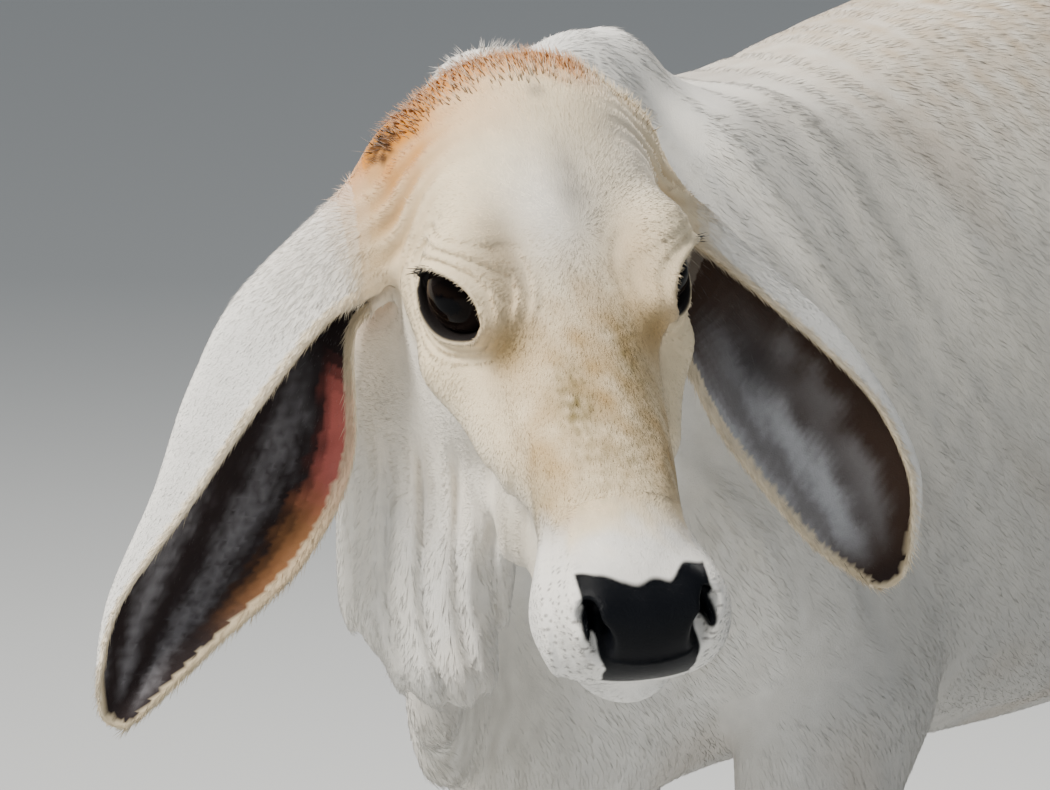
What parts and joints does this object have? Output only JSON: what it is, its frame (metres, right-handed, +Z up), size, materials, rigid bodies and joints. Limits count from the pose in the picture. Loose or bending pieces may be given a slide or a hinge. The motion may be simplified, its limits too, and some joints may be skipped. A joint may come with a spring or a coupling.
{
  "type": "brahman calf",
  "caption": "Still, life-size Brahman calf standing on four legs with its head turned to its left, long hanging ears, small hump and dewlap.",
  "frame": {"origin": "on the floor, under the middle of the whole model's bounding box", "axes": "+Z up, the body lies along Y with the chest towards -Y, +X is the calf's left side"},
  "size_m": [0.4689, 1.0741, 0.8419],
  "materials": {
    "hide": "short cream and pale grey hair over loose skin",
    "leg_hide": "short pale hair",
    "ears": "short white hair outside, dark skin inside",
    "eyes": "wet, almost black",
    "nose_pad": "moist black skin",
    "claws": "dark grey horn",
    "tail_switch": "long dark hair"
  },
  "bodies": {
    "root": {"claw_inner_front_left": "claws", "claw_inner_front_right": "claws", "claw_inner_hind_left": "claws", "claw_inner_hind_right": "claws", "claw_outer_front_left": "claws", "claw_outer_front_right": "claws", "claw_outer_hind_left": "claws", "claw_outer_hind_right": "claws", "dewclaw_inner_front_left": "claws", "dewclaw_inner_front_right": "claws", "dewclaw_inner_hind_left": "claws", "dewclaw_inner_hind_right": "claws", "dewclaw_outer_front_left": "claws", "dewclaw_outer_front_right": "claws", "dewclaw_outer_hind_left": "claws", "dewclaw_outer_hind_right": "claws", "ear_left": "ears", "ear_right": "ears", "eye_left": "eyes", "eye_right": "eyes", "head": "hide", "leg_lower_front_left": "leg_hide", "leg_lower_front_right": "leg_hide", "leg_lower_hind_left": "leg_hide", "leg_lower_hind_right": "leg_hide", "leg_upper_front_left": "hide", "leg_upper_front_right": "hide", "leg_upper_hind_left": "hide", "leg_upper_hind_right": "hide", "neck": "hide", "nose_pad": "nose_pad", "tail": "hide", "tail_switch": "tail_switch", "torso": "hide"}
  },
  "joints": []
}
